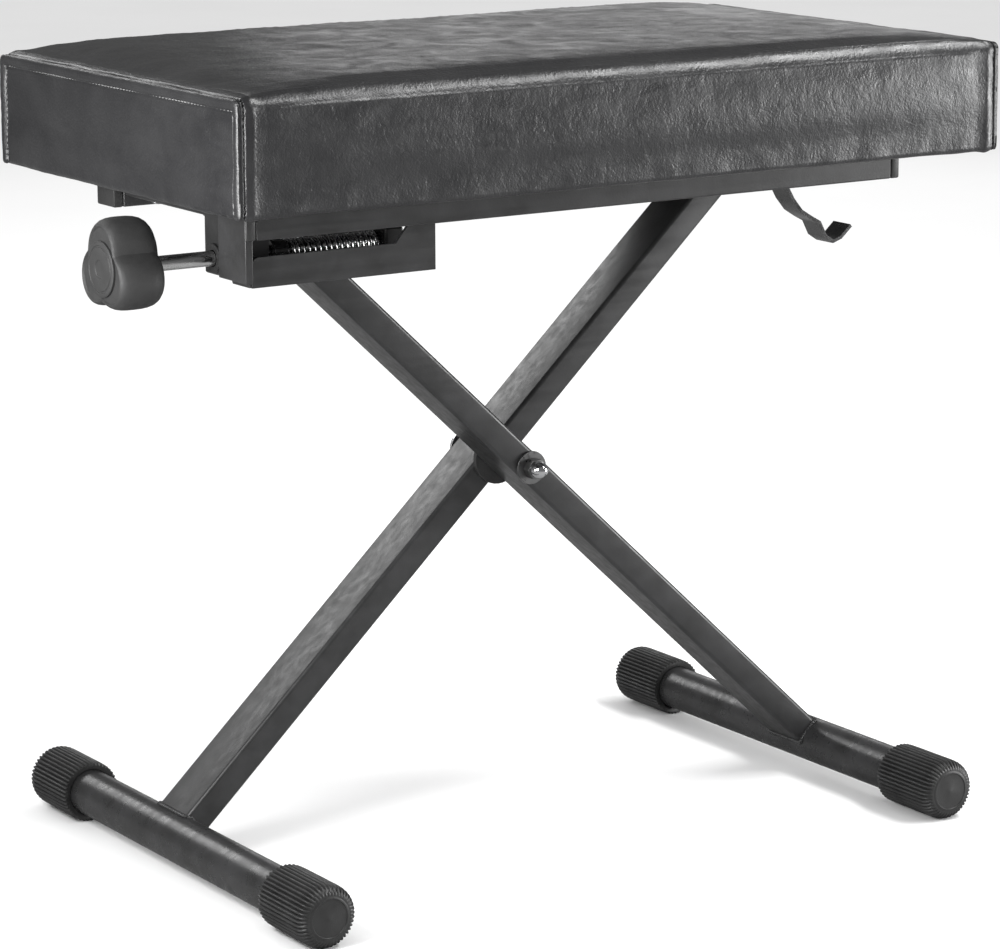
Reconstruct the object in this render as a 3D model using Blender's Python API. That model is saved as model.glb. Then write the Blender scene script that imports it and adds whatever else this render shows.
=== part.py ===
"""Folding X-frame keyboard bench: padded seat, two crossed legs, spindle height adjuster and latch.

Metres, +Z up, floor at z = 0. X runs along the seat and Y from front to back.
All dimensions are given from the middle of the seat; the whole bench is then shifted along X
so that the middle of its bounding box stands on the origin.
"""

import math

import bmesh
import bpy
from mathutils import Matrix, Vector

# ---- driving dimensions ----------------------------------------------------------------
GAP = 0.0003                 # between touching solids
RUN = 0.0005                 # between sliding or turning solids

SEAT_LENGTH = 0.600
SEAT_WIDTH = 0.334
SEAT_HEIGHT = 0.5443         # top of the cushion
SEAT_THICKNESS = 0.0739
COVER = 0.0015
CUSHION_RADIUS = 0.012
BOARD = 0.015
LINING = 0.0008

RAIL_WIDTH = 0.025
RAIL_HEIGHT = 0.020
RAIL_WALL = 0.002
RAIL_LEFT = -0.268
RAIL_RIGHT = 0.2365
RAIL_CAP = 0.007
FRONT_RAIL_Y = -0.1175
RAIL_LEG_GAP = 0.0095        # back rail behind leg B

LEG_THICK = 0.020            # in the plane of the X
LEG_WIDE = 0.040             # along Y
LEG_WALL = 0.0018
LEG_CORNER = 0.003
LEG_A_Y = -0.023
LEG_GAP = 0.004
LEG_B_Y = LEG_A_Y + LEG_WIDE + LEG_GAP
LEG_UPPER = 0.2598           # pivot to top axle
LEG_LOWER = 0.3470           # pivot to foot bar
LEG_END = 0.010              # tube beyond the top axle
PLUG = 0.0025                # plug beyond the tube

FOOT_RADIUS = 0.016
FOOT_WALL = 0.0018
FOOT_LENGTH = 0.393
FOOT_CAP_RADIUS = 0.0215
FOOT_CAP_LENGTH = 0.058
FOOT_CAP_END = 0.005
FOOT_CAP_FLATS = 44

AXLE_RADIUS = 0.005
AXLE_LEFT = -0.1967          # top axle of leg A
AXLE_DROP = 0.0140           # below the rails
AXLE_PROUD = 0.0055          # leg B's axle in front of its tube
BOLT_RADIUS = 0.004
WASHER = 0.002
WASHER_RADIUS = 0.0117
PIVOT_NUT = 0.013            # across flats
PIVOT_NUT_LENGTH = 0.0065
ACORN_RADIUS = 0.0058
SPACER_RADIUS = 0.0190

SPINDLE_Y = -0.079
SPINDLE_RADIUS = 0.005
SPINDLE_END = -0.120
KNOB_OUTER = -0.352
KNOB_INNER = -0.318
KNOB_RADIUS = 0.0325
KNOB_DISC = 0.018
KNOB_DISC_PROUD = 0.0006
COLLAR_X = -0.2305
COLLAR_LENGTH = 0.0105
NUT_X = -0.150
NUT_LENGTH = 0.014
NUT_SIDE = 0.023
SPRING_RADIUS = 0.0085
SPRING_WIRE = 0.0011
SPRING_TURNS = 16

SHEET = 0.0025
BRACKET_X = -0.2705
CHANNEL_RIGHT = -0.130
CHANNEL_DROP = 0.0317        # channel's underside below the rails
CHANNEL_HEIGHT = 0.0196
CHANNEL_DEPTH = 0.0273
BAR_HEIGHT = 0.0120

LEVER_Y = -0.020
LEVER_WIDE = 0.020
LEVER_THICK = 0.0025
LEVER_PIVOT = 0.0327         # lever pin to the left of leg B's axle
LEVER_BEND = 0.0233          # first bend to the right of the axle
LEVER_PIN_RADIUS = 0.003
TOOTH_DROP = 0.0025

# ---- derived places --------------------------------------------------------------------
SEAT_BOTTOM = SEAT_HEIGHT - SEAT_THICKNESS
RAIL_TOP = SEAT_BOTTOM - GAP
RAIL_BOTTOM = RAIL_TOP - RAIL_HEIGHT
FOOT_Z = FOOT_CAP_RADIUS
LEG_LENGTH = LEG_UPPER + LEG_LOWER
AXLE_Z = RAIL_BOTTOM - AXLE_DROP
LEG_ANGLE = math.asin((AXLE_Z - FOOT_Z) / LEG_LENGTH)
AXLE_RIGHT = AXLE_LEFT + 2 * LEG_UPPER * math.cos(LEG_ANGLE)
PIVOT_X = (AXLE_LEFT + AXLE_RIGHT) / 2
LEVER_PIVOT_X = AXLE_RIGHT - LEVER_PIVOT
PIVOT_Z = AXLE_Z - LEG_UPPER * math.sin(LEG_ANGLE)
FOOT_A_X = AXLE_LEFT + LEG_LENGTH * math.cos(LEG_ANGLE)
FOOT_B_X = AXLE_RIGHT - LEG_LENGTH * math.cos(LEG_ANGLE)
SPINDLE_Z = RAIL_BOTTOM - 0.017
LEG_A_FRONT = LEG_A_Y - LEG_WIDE / 2
LEG_A_BACK = LEG_A_Y + LEG_WIDE / 2
LEG_B_FRONT = LEG_B_Y - LEG_WIDE / 2
LEG_B_BACK = LEG_B_Y + LEG_WIDE / 2
FRONT_RAIL_BACK = FRONT_RAIL_Y + RAIL_WIDTH / 2
BACK_RAIL_FRONT = LEG_B_BACK + RAIL_LEG_GAP
BACK_RAIL_Y = BACK_RAIL_FRONT + RAIL_WIDTH / 2
CHANNEL_BOTTOM = RAIL_BOTTOM - CHANNEL_DROP
BAR_BOTTOM = RAIL_TOP - BAR_HEIGHT
LEG_SWEEP = math.hypot(LEG_END + GAP + PLUG, LEG_THICK / 2)
LEVER_Z = AXLE_Z + AXLE_RADIUS + RUN + TOOTH_DROP
LEFT_END = min(KNOB_OUTER - KNOB_DISC_PROUD, -SEAT_LENGTH / 2)
SHIFT_X = -(LEFT_END + SEAT_LENGTH / 2) / 2
SEGMENTS = 32
SMALL_SEGMENTS = 20


# ---- materials -------------------------------------------------------------------------
MATERIALS = {
    "leatherette": ((0.030, 0.030, 0.032), 0.45, 0.0),
    "foam": ((0.75, 0.72, 0.60), 0.95, 0.0),
    "plywood": ((0.55, 0.38, 0.22), 0.75, 0.0),
    "lining": ((0.03, 0.03, 0.03), 0.95, 0.0),
    "black_paint": ((0.025, 0.025, 0.027), 0.40, 0.0),
    "black_plastic": ((0.030, 0.030, 0.030), 0.55, 0.0),
    "black_rubber": ((0.025, 0.025, 0.025), 0.80, 0.0),
    "zinc": ((0.70, 0.70, 0.70), 0.30, 1.0),
    "chrome": ((0.85, 0.85, 0.87), 0.10, 1.0),
    "spring_steel": ((0.62, 0.62, 0.63), 0.25, 1.0),
}


def material(name):
    found = bpy.data.materials.get(name)
    if found:
        return found
    colour, roughness, metallic = MATERIALS[name]
    made = bpy.data.materials.new(name)
    made.use_nodes = True
    shader = made.node_tree.nodes["Principled BSDF"]
    shader.inputs["Base Color"].default_value = (*colour, 1.0)
    shader.inputs["Roughness"].default_value = roughness
    shader.inputs["Metallic"].default_value = metallic
    return made


# ---- shape helpers ---------------------------------------------------------------------
def add_object(name, mesh_data, slot):
    mesh = bpy.data.meshes.new(name)
    bmesh.ops.recalc_face_normals(mesh_data, faces=mesh_data.faces)
    mesh_data.to_mesh(mesh)
    mesh_data.free()
    mesh.shade_smooth()
    mesh.set_sharp_from_angle(angle=math.radians(35))
    made = bpy.data.objects.new(name, mesh)
    bpy.context.scene.collection.objects.link(made)
    mesh.materials.append(material(slot))
    return made


def box(name, low, high, slot, radius=0.0, segments=2):
    """A block between two corners, with every edge rounded when a radius is given."""
    shape = bmesh.new()
    bmesh.ops.create_cube(shape, size=1.0)
    size = Vector(high) - Vector(low)
    middle = (Vector(high) + Vector(low)) / 2
    bmesh.ops.scale(shape, vec=size, verts=shape.verts)
    bmesh.ops.translate(shape, vec=middle, verts=shape.verts)
    if radius:
        bmesh.ops.bevel(shape, geom=shape.edges, offset=radius, segments=segments,
                        affect="EDGES", profile=0.5)
    return add_object(name, shape, slot)


def stack(name, rings, slot):
    """A closed skin over rings of equal point count, with both ends filled."""
    shape = bmesh.new()
    rows = [[shape.verts.new(point) for point in ring] for ring in rings]
    count = len(rings[0])
    for low, high in zip(rows, rows[1:]):
        for i in range(count):
            j = (i + 1) % count
            shape.faces.new((low[i], low[j], high[j], high[i]))
    shape.faces.new(rows[0])
    shape.faces.new(rows[-1])
    return add_object(name, shape, slot)


def loop_skin(name, rings, slot):
    """A closed skin over rings whose last one meets the first, as in a hollow turned piece."""
    shape = bmesh.new()
    rows = [[shape.verts.new(point) for point in ring] for ring in rings]
    count = len(rings[0])
    for low, high in zip(rows, rows[1:] + rows[:1]):
        for i in range(count):
            j = (i + 1) % count
            shape.faces.new((low[i], low[j], high[j], high[i]))
    return add_object(name, shape, slot)


def ring_points(axis, place, along, radius, count, turn=0.0):
    """Points of a circle square to X or Y, at the given distance along that axis."""
    points = []
    for i in range(count):
        angle = turn + 2 * math.pi * i / count
        across = radius * math.cos(angle)
        up = radius * math.sin(angle)
        if axis == "X":
            points.append((along, place[0] + across, place[1] + up))
        else:
            points.append((place[0] + across, along, place[1] + up))
    return points


def rod(name, axis, place, start, end, radius, slot, segments=SEGMENTS, chamfer=0.0, turn=0.0):
    """A solid round bar along X or Y. place is its centre across that axis."""
    rings = [ring_points(axis, place, start, radius - chamfer, segments, turn)]
    if chamfer:
        rings.append(ring_points(axis, place, start + chamfer, radius, segments, turn))
        rings.append(ring_points(axis, place, end - chamfer, radius, segments, turn))
    rings.append(ring_points(axis, place, end, radius - chamfer, segments, turn))
    return stack(name, rings, slot)


def tube(name, axis, place, start, end, outer, inner, slot, segments=SEGMENTS, turn=0.0):
    """A round tube, open at both ends."""
    rings = [
        ring_points(axis, place, start, outer, segments, turn),
        ring_points(axis, place, end, outer, segments, turn),
        ring_points(axis, place, end, inner, segments, turn),
        ring_points(axis, place, start, inner, segments, turn),
    ]
    return loop_skin(name, rings, slot)


def prism(name, outline, start, end, slot, radius=0.0):
    """An outline in X and Z, extruded along Y. radius rounds the edges that run along Y."""
    shape = bmesh.new()
    corners = [shape.verts.new((x, start, z)) for x, z in outline]
    base = shape.faces.new(corners)
    grown = bmesh.ops.extrude_face_region(shape, geom=[base])
    moved = [item for item in grown["geom"] if isinstance(item, bmesh.types.BMVert)]
    bmesh.ops.translate(shape, vec=(0, end - start, 0), verts=moved)
    if radius:
        along = [e for e in shape.edges if abs(e.verts[0].co.y - e.verts[1].co.y) > 1e-6]
        bmesh.ops.bevel(shape, geom=along, offset=radius, segments=3, affect="EDGES", profile=0.5)
    return add_object(name, shape, slot)


def combine(target, other, operation):
    modifier = target.modifiers.new(operation.lower(), "BOOLEAN")
    modifier.operation = operation
    modifier.solver = "EXACT"
    modifier.object = other
    other.hide_render = True
    other.display_type = "WIRE"


def carve(target, *cutters):
    for cutter in cutters:
        combine(target, cutter, "DIFFERENCE")


def weld(target, *others):
    for other in others:
        combine(target, other, "UNION")


def hole(target, axis, place, start, end, radius, segments=SMALL_SEGMENTS):
    name = f"cut_{target.name}_{len(target.modifiers)}"
    carve(target, rod(name, axis, place, start, end, radius, "black_paint", segments))


# ---- assembly helpers ------------------------------------------------------------------
def add_empty(name, place, parent=None):
    made = bpy.data.objects.new(name, None)
    bpy.context.scene.collection.objects.link(made)
    made.parent = parent
    made.location = Vector(place) - (parent_place(parent) if parent else Vector())
    return made


def parent_place(item):
    place = Vector()
    while item:
        place += item.location
        item = item.parent
    return place


def gather(carrier, before):
    """Hangs every object made since `before` on the carrier, with its origin there."""
    place = parent_place(carrier) - Vector((SHIFT_X, 0, 0))
    for item in list(bpy.data.objects):
        if item.name in before or item.type != "MESH":
            continue
        item.data.transform(Matrix.Translation(-place))
        item.parent = carrier


# ---- seat ------------------------------------------------------------------------------
def cushion_block(name, inset, low, slot, high=None):
    """A block inside the cover's outside, with rounded upright corners.

    Without a height of its own it reaches up to the cover and its top edge is rounded too.
    """
    top = high or SEAT_HEIGHT - inset
    shape = bmesh.new()
    bmesh.ops.create_cube(shape, size=1.0)
    bmesh.ops.scale(shape, vec=(SEAT_LENGTH - 2 * inset, SEAT_WIDTH - 2 * inset, top - low),
                    verts=shape.verts)
    bmesh.ops.translate(shape, vec=(0, 0, (top + low) / 2), verts=shape.verts)
    rounded = [e for e in shape.edges if abs(e.verts[0].co.z - e.verts[1].co.z) > 1e-5]
    if high is None:
        rounded += [e for e in shape.edges if min(v.co.z for v in e.verts) > top - 1e-5]
    bmesh.ops.bevel(shape, geom=rounded, offset=CUSHION_RADIUS - inset, segments=4,
                    affect="EDGES", profile=0.5)
    return add_object(name, shape, slot)


def make_cushion():
    cover = cushion_block("seat_cover", 0.0, SEAT_BOTTOM, "leatherette")
    carve(cover, cushion_block("cut_seat_cover", COVER, SEAT_BOTTOM - 0.01, "foam"))
    inside = COVER + GAP
    board_low = SEAT_BOTTOM + LINING + GAP
    board_high = board_low + BOARD
    cushion_block("foam_pad", inside, board_high + GAP, "foam")
    board = cushion_block("seat_board", inside, board_low, "plywood", high=board_high)
    lining = cushion_block("underside_lining", inside, SEAT_BOTTOM, "lining",
                           high=SEAT_BOTTOM + LINING)
    return board, lining


def make_rail(name, middle_y):
    low_y = middle_y - RAIL_WIDTH / 2
    high_y = middle_y + RAIL_WIDTH / 2
    rail = box(name, (RAIL_LEFT, low_y, RAIL_BOTTOM), (RAIL_RIGHT, high_y, RAIL_TOP),
               "black_paint")
    bore = box(f"cut_{name}", (RAIL_LEFT - 0.01, low_y + RAIL_WALL, RAIL_BOTTOM + RAIL_WALL),
               (RAIL_RIGHT + 0.01, high_y - RAIL_WALL, RAIL_TOP - RAIL_WALL), "black_paint")
    carve(rail, bore)
    inner = RAIL_WALL + GAP
    for side, end, way in (("left", RAIL_LEFT, -1), ("right", RAIL_RIGHT, 1)):
        face = end + way * GAP
        cap = box(f"{name}_cap_{side}",
                  (min(face, face + way * RAIL_CAP), low_y, RAIL_BOTTOM),
                  (max(face, face + way * RAIL_CAP), high_y, RAIL_TOP),
                  "black_plastic", radius=0.0012, segments=2)
        stub_in = face - way * 0.012
        stub_out = face + way * 0.003
        weld(cap, box(f"add_{name}_{side}",
                      (min(stub_in, stub_out), low_y + inner, RAIL_BOTTOM + inner),
                      (max(stub_in, stub_out), high_y - inner, RAIL_TOP - inner),
                      "black_plastic"))


def make_cross_bar(name, low_x, high_x, screw_ys, board, lining):
    bar = box(name, (low_x, FRONT_RAIL_BACK + GAP, BAR_BOTTOM),
              (high_x, BACK_RAIL_FRONT - GAP, RAIL_TOP), "black_paint")
    middle = (low_x + high_x) / 2
    for number, y in enumerate(screw_ys, start=1):
        make_screw(f"{name}_screw_{number}", (middle, y), bar, board, lining)
    return bar


def make_screw(name, place, bar, board, lining):
    """A pan-head screw from below, through the bar and the lining into the board."""
    shank = 0.0022
    tip = SEAT_BOTTOM + LINING + BOARD * 0.75
    head_low = BAR_BOTTOM - GAP - 0.0024
    rings = []
    for z, radius in ((head_low, 0.0035), (head_low + 0.001, 0.0046),
                      (BAR_BOTTOM - GAP, 0.0046), (BAR_BOTTOM - GAP, shank),
                      (tip - 0.003, shank), (tip, 0.0008)):
        rings.append(upright_ring(place, z, radius, 12))
    stack(name, rings, "zinc")
    for target in (bar, board, lining):
        cutter = stack(f"cut_{name}_{target.name}",
                       [upright_ring(place, BAR_BOTTOM - 0.002, shank + GAP, 12),
                        upright_ring(place, tip + GAP, shank + GAP, 12)], "zinc")
        carve(target, cutter)


def upright_ring(place, z, radius, count):
    points = []
    for i in range(count):
        angle = 2 * math.pi * i / count
        points.append((place[0] + radius * math.cos(angle),
                       place[1] + radius * math.sin(angle), z))
    return points


def make_spindle_bracket():
    """Upright sheet at the left end with the spindle bush, and a side flange to the right."""
    low_y = SPINDLE_Y - 0.014
    high_y = SPINDLE_Y + 0.0135
    bottom = SPINDLE_Z - 0.011
    face = box("spindle_bracket", (BRACKET_X, low_y, bottom),
               (BRACKET_X + SHEET, high_y, RAIL_TOP), "black_paint", radius=0.001, segments=1)
    flange = box("add_spindle_bracket", (BRACKET_X + 0.001, low_y + 0.0002, bottom + 0.0002),
                 (BRACKET_X + 0.032, low_y + SHEET, RAIL_BOTTOM - 0.002), "black_paint")
    weld(face, flange)
    place = (SPINDLE_Y, SPINDLE_Z)
    hole(face, "X", place, BRACKET_X - 0.01, BRACKET_X + 0.01, 0.0075 + GAP)
    rings = [
        ring_points("X", place, BRACKET_X - GAP - 0.0015, 0.0095, SMALL_SEGMENTS),
        ring_points("X", place, BRACKET_X - GAP, 0.0095, SMALL_SEGMENTS),
        ring_points("X", place, BRACKET_X - GAP, 0.0075, SMALL_SEGMENTS),
        ring_points("X", place, BRACKET_X + 0.006, 0.0075, SMALL_SEGMENTS),
        ring_points("X", place, BRACKET_X + 0.006, SPINDLE_RADIUS + RUN, SMALL_SEGMENTS),
        ring_points("X", place, BRACKET_X - GAP - 0.0015, SPINDLE_RADIUS + RUN, SMALL_SEGMENTS),
    ]
    loop_skin("spindle_bush", rings, "black_plastic")


def make_guide_channel():
    """Angle under the front rail: front flange with a raised ear, web and end plate."""
    front = FRONT_RAIL_Y - 0.0025
    left = RAIL_LEFT + 0.002
    top = CHANNEL_BOTTOM + CHANNEL_HEIGHT
    ear_top = RAIL_BOTTOM - GAP
    corner = 0.004
    outline = [
        (left, CHANNEL_BOTTOM), (CHANNEL_RIGHT, CHANNEL_BOTTOM), (CHANNEL_RIGHT, ear_top),
        (CHANNEL_RIGHT - 0.020, ear_top), (CHANNEL_RIGHT - 0.030, top),
        (left + corner, top), (left + corner * 0.3, top - corner * 0.3), (left, top - corner),
    ]
    channel = prism("guide_channel", outline, front, front + SHEET, "black_paint")
    web = box("add_channel_web", (left + 0.0003, front + 0.0003, CHANNEL_BOTTOM + 0.0002),
              (CHANNEL_RIGHT - 0.0003, front + CHANNEL_DEPTH, CHANNEL_BOTTOM + SHEET),
              "black_paint")
    plate = box("add_channel_plate", (RAIL_LEFT, front + 0.0005, CHANNEL_BOTTOM + 0.0004),
                (RAIL_LEFT + SHEET, front + 0.0225, ear_top), "black_paint")
    weld(channel, web, plate)


# ---- latch -----------------------------------------------------------------------------
def lever_centre_line():
    """Middle of the bent strip in X and Z: arm, drop, run-out and upturned lip."""
    arm = LEVER_Z + LEVER_THICK / 2
    bend_x = AXLE_RIGHT + LEVER_BEND
    points = [(LEVER_PIVOT_X + 0.004, arm), (bend_x, arm)]
    for i in range(1, 5):
        angle = math.radians(15 * i)
        points.append((bend_x + 0.016 * math.sin(angle), arm - 0.016 * (1 - math.cos(angle))))
    drop_x, drop_z = points[-1]
    points.append((drop_x + 0.0075, drop_z - 0.0130))
    points.append((drop_x + 0.0150, drop_z - 0.0220))
    points.append((drop_x + 0.0240, drop_z - 0.0275))
    points.append((drop_x + 0.0315, drop_z - 0.0315))
    points.append((drop_x + 0.0370, drop_z - 0.0420))
    points.append((drop_x + 0.0440, drop_z - 0.0465))
    points.append((drop_x + 0.0510, drop_z - 0.0440))
    points.append((drop_x + 0.0600, drop_z - 0.0360))
    return points


def strip_outline(points, thick):
    """Both sides of a strip of even thickness along a line in X and Z."""
    upper, lower = [], []
    for i, (x, z) in enumerate(points):
        before = points[max(i - 1, 0)]
        after = points[min(i + 1, len(points) - 1)]
        run, rise = after[0] - before[0], after[1] - before[1]
        length = math.hypot(run, rise)
        side_x, side_z = -rise / length * thick / 2, run / length * thick / 2
        upper.append((x + side_x, z + side_z))
        lower.append((x - side_x, z - side_z))
    return lower + upper[::-1]


def make_latch_bracket():
    """Cross plate between the rails with three cheeks: two beside leg B and one for the pin."""
    left, right = LEVER_PIVOT_X - 0.008, AXLE_RIGHT + 0.026
    plate_top = RAIL_BOTTOM + 0.0090
    plate_low = plate_top - SHEET
    cheek_low = AXLE_Z - 0.005
    notch = AXLE_RIGHT - AXLE_RADIUS - RUN
    notch_top = AXLE_Z + AXLE_RADIUS + RUN
    bracket = box("latch_bracket", (left, FRONT_RAIL_BACK + GAP, plate_low),
                  (right, BACK_RAIL_FRONT - GAP, plate_top), "black_paint")
    outline = [(left + 0.001, cheek_low), (notch, cheek_low), (notch, notch_top),
               (right - 0.001, notch_top), (right - 0.001, plate_low + 0.001),
               (left + 0.001, plate_low + 0.001)]
    front_cheek = LEG_B_FRONT - 0.0015 - SHEET
    back_cheek = LEG_B_BACK + 0.0015
    weld(bracket, prism("add_cheek_front", outline, front_cheek, front_cheek + SHEET,
                        "black_paint"))
    weld(bracket, prism("add_cheek_back", outline, back_cheek, back_cheek + SHEET,
                        "black_paint"))
    ear_y = LEVER_Y - LEVER_WIDE / 2 - 0.001 - SHEET
    ear = [(left + 0.001, LEVER_Z - 0.005), (LEVER_PIVOT_X + 0.008, LEVER_Z - 0.005),
           (LEVER_PIVOT_X + 0.008, plate_low + 0.001), (left + 0.001, plate_low + 0.001)]
    weld(bracket, prism("add_pin_ear", ear, ear_y, ear_y + SHEET, "black_paint"))
    pin_place = (LEVER_PIVOT_X, LEVER_Z + LEVER_THICK / 2)
    hole(bracket, "Y", pin_place, ear_y - 0.003, front_cheek + SHEET + 0.001,
         LEVER_PIN_RADIUS + GAP, 12)
    pin = rod("lever_pin", "Y", pin_place, ear_y - 0.002, front_cheek + SHEET - 0.0002,
              LEVER_PIN_RADIUS, "zinc", 12)
    weld(pin, rod("add_lever_pin", "Y", pin_place, ear_y - 0.0035, ear_y - GAP,
                  LEVER_PIN_RADIUS + 0.0018, "zinc", 12))


def make_latch_lever():
    low_y = LEVER_Y - LEVER_WIDE / 2
    high_y = LEVER_Y + LEVER_WIDE / 2
    lever = prism("latch_lever", strip_outline(lever_centre_line(), LEVER_THICK), low_y, high_y,
                  "black_paint")
    place = (LEVER_PIVOT_X, LEVER_Z + LEVER_THICK / 2)
    eye = LEVER_PIN_RADIUS + RUN
    barrel = rod("add_lever_eye", "Y", place, low_y + 0.0002, high_y - 0.0002, eye + 0.0018,
                 "black_paint", 16)
    tooth_x = AXLE_RIGHT + AXLE_RADIUS + 0.001
    tooth = box("add_lever_tooth",
                (tooth_x, low_y + 0.0003, LEVER_Z - TOOTH_DROP + GAP),
                (tooth_x + 0.004, high_y - 0.0003, LEVER_Z + LEVER_THICK / 2), "black_paint")
    weld(lever, barrel, tooth)
    hole(lever, "Y", place, low_y - 0.002, high_y + 0.002, eye, 16)


# ---- spindle drive ---------------------------------------------------------------------
def knob_ring(along, scale):
    """Three-lobed outline with one lobe up."""
    points = []
    count = 48
    for i in range(count):
        angle = 2 * math.pi * i / count
        lobe = 0.5 + 0.5 * math.cos(3 * (angle - math.pi / 2))
        radius = KNOB_RADIUS * (0.67 + 0.33 * lobe ** 0.80) * scale
        points.append((along, SPINDLE_Y + radius * math.cos(angle),
                       SPINDLE_Z + radius * math.sin(angle)))
    return points


def make_spindle():
    place = (SPINDLE_Y, SPINDLE_Z)
    rod("spindle", "X", place, KNOB_INNER - 0.020, SPINDLE_END, SPINDLE_RADIUS, "zinc",
        SMALL_SEGMENTS, chamfer=0.0008)
    depth = KNOB_INNER - KNOB_OUTER
    knob = stack("knob", [knob_ring(KNOB_OUTER + depth * at, scale) for at, scale in
                          ((0.0, 0.88), (0.10, 0.96), (0.28, 1.0), (0.70, 0.98),
                           (0.90, 0.88), (1.0, 0.70))], "black_plastic")
    hole(knob, "X", place, KNOB_INNER - 0.020 - GAP, KNOB_INNER + 0.01, SPINDLE_RADIUS + GAP)
    hole(knob, "X", place, KNOB_OUTER - 0.01, KNOB_OUTER + 0.0015, KNOB_DISC + GAP, SEGMENTS)
    rod("knob_disc", "X", place, KNOB_OUTER - KNOB_DISC_PROUD, KNOB_OUTER + 0.0012, KNOB_DISC,
        "black_plastic", SEGMENTS)
    tube("spindle_collar", "X", place, COLLAR_X, COLLAR_X + COLLAR_LENGTH, 0.008,
         SPINDLE_RADIUS + GAP, "black_paint", SMALL_SEGMENTS)
    tube("spindle_thrust_washer", "X", place, COLLAR_X - GAP - 0.0012, COLLAR_X - GAP, 0.0095,
         SPINDLE_RADIUS + GAP, "zinc", SMALL_SEGMENTS)


def make_spring():
    """Compression spring between the collar and the nut: a helix of round wire."""
    start = COLLAR_X + COLLAR_LENGTH + GAP + SPRING_WIRE
    end = NUT_X - GAP - SPRING_WIRE
    mean = SPRING_RADIUS - SPRING_WIRE
    steps, sides = 10, 5
    total = SPRING_TURNS * steps
    rings = []
    for i in range(total + 1):
        share = i / total
        angle = 2 * math.pi * SPRING_TURNS * share
        along = start + (end - start) * share
        ring = []
        for k in range(sides):
            turn = 2 * math.pi * k / sides
            radius = mean + SPRING_WIRE * math.cos(turn)
            ring.append((along + SPRING_WIRE * math.sin(turn),
                         SPINDLE_Y + radius * math.cos(angle),
                         SPINDLE_Z + radius * math.sin(angle)))
        rings.append(ring)
    stack("spindle_spring", rings, "spring_steel")


def make_carriage():
    """Threaded nut, and the forked bracket that carries leg A's top axle."""
    place = (SPINDLE_Y, SPINDLE_Z)
    half = NUT_SIDE / 2
    nut = box("spindle_nut", (NUT_X, SPINDLE_Y - half, SPINDLE_Z - 0.0105),
              (NUT_X + NUT_LENGTH, SPINDLE_Y + half, SPINDLE_Z + 0.0105), "zinc",
              radius=0.0012, segments=1)
    hole(nut, "X", place, NUT_X - 0.01, NUT_X + NUT_LENGTH + 0.01, SPINDLE_RADIUS + RUN)
    arm_low, arm_high = SPINDLE_Z - 0.007, SPINDLE_Z + 0.009
    front_cheek = LEG_A_FRONT - 0.0015 - SHEET
    back_cheek = LEG_A_BACK + 0.0003 + 0.0005
    fork_left, fork_right = AXLE_LEFT - 0.016, AXLE_LEFT + 0.017
    web_low = AXLE_Z + LEG_SWEEP + 0.001
    web_high = web_low + SHEET
    low = AXLE_Z - 0.012
    fork = box("slide_carriage", (fork_left, front_cheek, web_low),
               (fork_right, back_cheek + SHEET, web_high), "black_paint")
    cheek_front = box("add_fork_front", (fork_left + 0.0002, front_cheek + 0.0001, low),
                      (NUT_X + NUT_LENGTH, front_cheek + SHEET, web_low + 0.001),
                      "black_paint")
    cheek_back = box("add_fork_back", (fork_left + 0.0002, back_cheek, low),
                     (fork_right - 0.0002, back_cheek + SHEET - 0.0001, web_low + 0.001),
                     "black_paint")
    arm = box("add_fork_arm", (NUT_X + 0.001, SPINDLE_Y + half + GAP, arm_low),
              (NUT_X + NUT_LENGTH - 0.001, front_cheek + 0.001, arm_high), "black_paint")
    weld(fork, cheek_front, cheek_back, arm)
    hole(fork, "Y", (AXLE_LEFT, AXLE_Z), front_cheek - 0.002, back_cheek + SHEET + 0.002,
         AXLE_RADIUS + RUN)
    return front_cheek, back_cheek + SHEET


# ---- legs ------------------------------------------------------------------------------
def leg_frame(top, foot):
    """Unit vectors along the leg from foot to top, and across it in the plane of the X."""
    along = (Vector((top[0], 0, top[1])) - Vector((foot[0], 0, foot[1]))).normalized()
    across = Vector((-along.z, 0, along.x))
    return along, across


def leg_ring(centre, across, middle_y, half_thick, half_wide, corner):
    """Rounded rectangle across the leg: half_thick in the plane of the X, half_wide along Y."""
    points = []
    for turn in range(4):
        sign_a = 1 if turn in (0, 3) else -1
        sign_y = 1 if turn in (0, 1) else -1
        for step in range(3):
            angle = math.radians(90 * turn + 45 * step)
            a = sign_a * (half_thick - corner) + corner * math.cos(angle)
            y = sign_y * (half_wide - corner) + corner * math.sin(angle)
            point = centre + across * a
            points.append((point.x, middle_y + y, point.z))
    return points


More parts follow.
